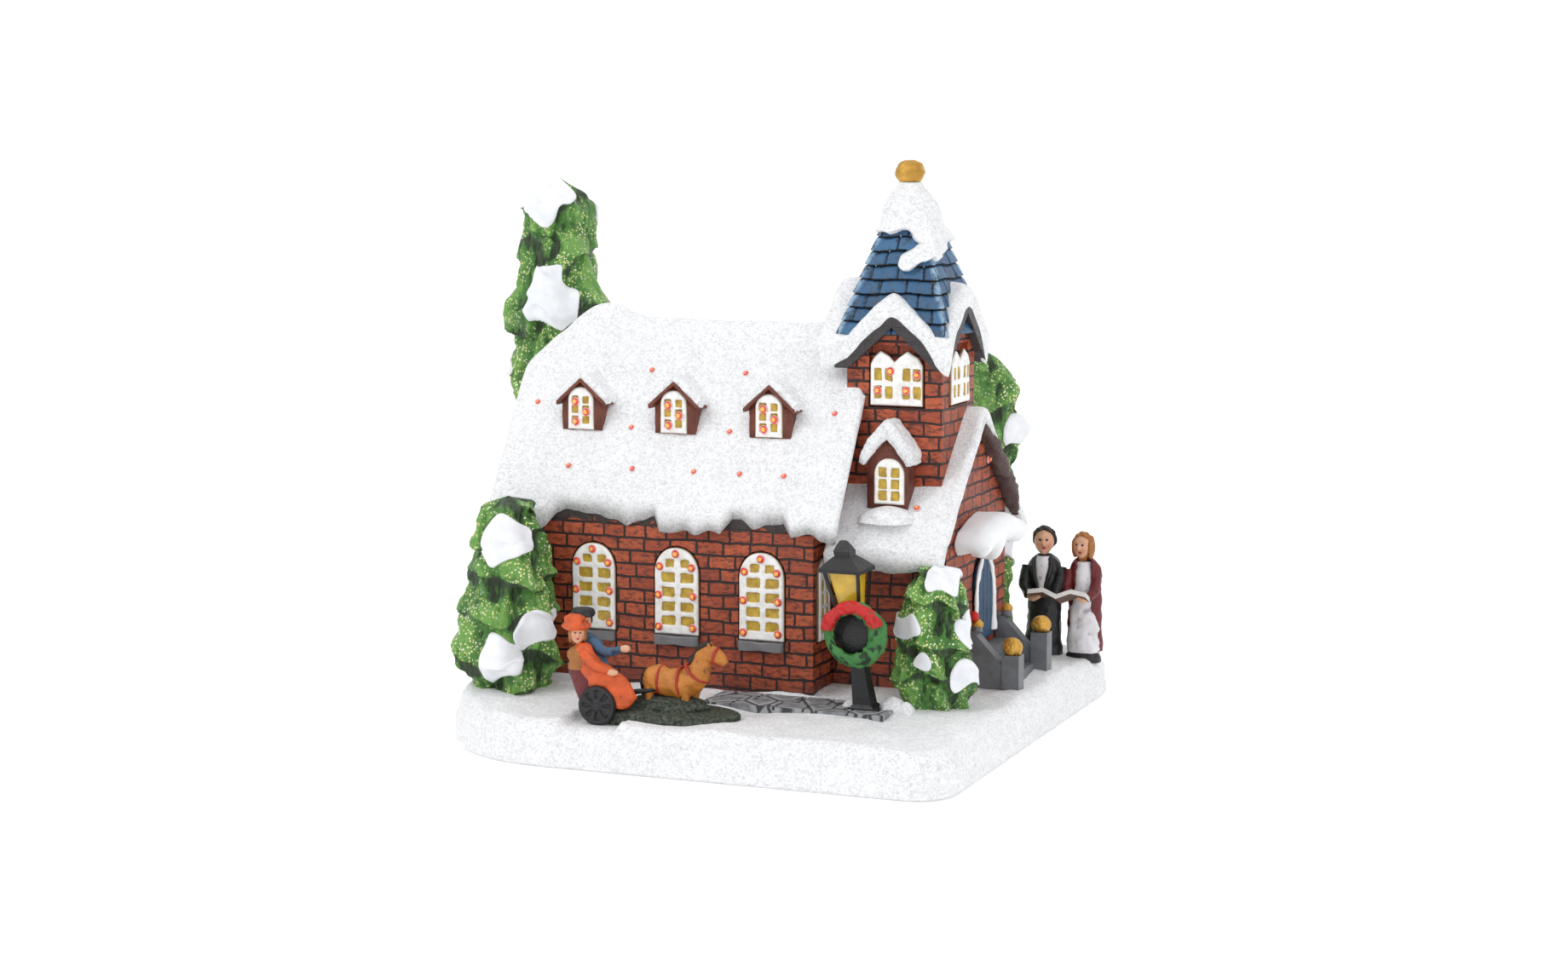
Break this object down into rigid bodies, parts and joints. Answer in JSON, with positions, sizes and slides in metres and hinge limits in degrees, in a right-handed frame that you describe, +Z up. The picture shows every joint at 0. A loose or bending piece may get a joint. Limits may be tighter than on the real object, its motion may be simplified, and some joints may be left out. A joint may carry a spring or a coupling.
{
  "type": "christmas village house",
  "caption": "Light-up winter church with a steeple, snow-covered roofs, trees, street lamp, singers and a horse carriage on a snowy base, with a battery box below.",
  "frame": {"origin": "centre of the whole part seen from above, on the plane that the foot pads stand on", "axes": "+X along the nave towards the door end, +Y from the front to the back, +Z up along the steeple"},
  "size_m": [0.1404, 0.13, 0.1302],
  "materials": {
    "snow_resin": "white painted resin with fine glitter",
    "brick_resin": "orange-red painted brick relief, dark joints",
    "window_resin": "white painted frames, ochre panes",
    "shingle_resin": "blue painted shingles",
    "gold_resin": "gold paint",
    "tree_resin": "green paint with gold glitter",
    "stone_resin": "grey painted stone",
    "black_resin": "black paint, semi-matt",
    "blue_resin": "blue paint",
    "maroon_resin": "dark red paint",
    "orange_resin": "orange paint",
    "ochre_resin": "ochre paint",
    "grass_resin": "dark green flecked paint",
    "paper_resin": "white painted pages",
    "lantern_pane": "yellow paint, glossy",
    "light_fibre": "clear light-guiding plastic, red at the tips",
    "black_plastic": "moulded, fine grain",
    "red_wire": "insulated wire",
    "lamp_board": "white solder mask",
    "clear_lens": "clear lens",
    "cell_wrap": "printed shrink wrap, left plain",
    "bare_steel": "zinc plated",
    "foot_foam": "dense foam pad"
  },
  "bodies": {
    "house": {"snow_base": "snow_resin", "base_cover": "black_plastic", "foot_pad_1": "foot_foam", "foot_pad_2": "foot_foam", "foot_pad_3": "foot_foam", "foot_pad_4": "foot_foam", "cover_screw_1": "bare_steel", "cover_screw_2": "bare_steel", "battery_cell_1": "cell_wrap", "battery_cell_2": "cell_wrap", "battery_cell_3": "cell_wrap", "contact_strip_left": "bare_steel", "contact_strip_right": "bare_steel", "switch_body": "bare_steel", "lamp_board": "lamp_board", "led_lamp": "clear_lens", "fibre_collar": "black_plastic", "fibre_bundle": "light_fibre", "lamp_lead": "red_wire", "nave_walls": "brick_resin", "nave_roof_snow": "snow_resin", "roof_dormer_1": "brick_resin", "roof_dormer_2": "brick_resin", "roof_dormer_3": "brick_resin", "nave_window_1": "window_resin", "nave_window_2": "window_resin", "nave_window_3": "window_resin", "back_window_1": "window_resin", "back_window_2": "window_resin", "side_window": "window_resin", "tower_walls": "brick_resin", "tower_gable_snow": "snow_resin", "spire": "shingle_resin", "spire_snow": "snow_resin", "finial": "gold_resin", "tower_window_front": "window_resin", "tower_window_side": "window_resin", "porch_walls": "brick_resin", "porch_roof_snow": "snow_resin", "porch_dormer": "brick_resin", "front_door": "blue_resin", "door_canopy": "snow_resin", "door_steps": "stone_resin", "flagstones": "stone_resin", "grass_mound": "grass_resin", "carriage": "black_resin", "riders": "orange_resin", "horse": "ochre_resin", "lamp_post": "black_resin", "lamp_glass": "lantern_pane", "lamp_wreath": "tree_resin", "tree_back_left": "tree_resin", "tree_front_left": "tree_resin", "tree_by_door": "tree_resin", "tree_back_right": "tree_resin", "singer_man": "black_resin", "singer_woman": "maroon_resin", "song_book": "paper_resin"},
    "battery_lid": {"battery_door": "black_plastic"},
    "switch_slider": {"switch_knob": "black_plastic"}
  },
  "joints": [
    {"name": "battery_door_hinge", "type": "hinge", "parent": "house", "child": "battery_lid", "pos_m": [-0.04327, 0, 0.00215], "axis": [0, 1, 0], "range_deg": [0, 90]},
    {"name": "switch_slide", "type": "slide", "parent": "house", "child": "switch_slider", "axis": [1, 0, 0], "range_m": [0, 0.003]}
  ]
}
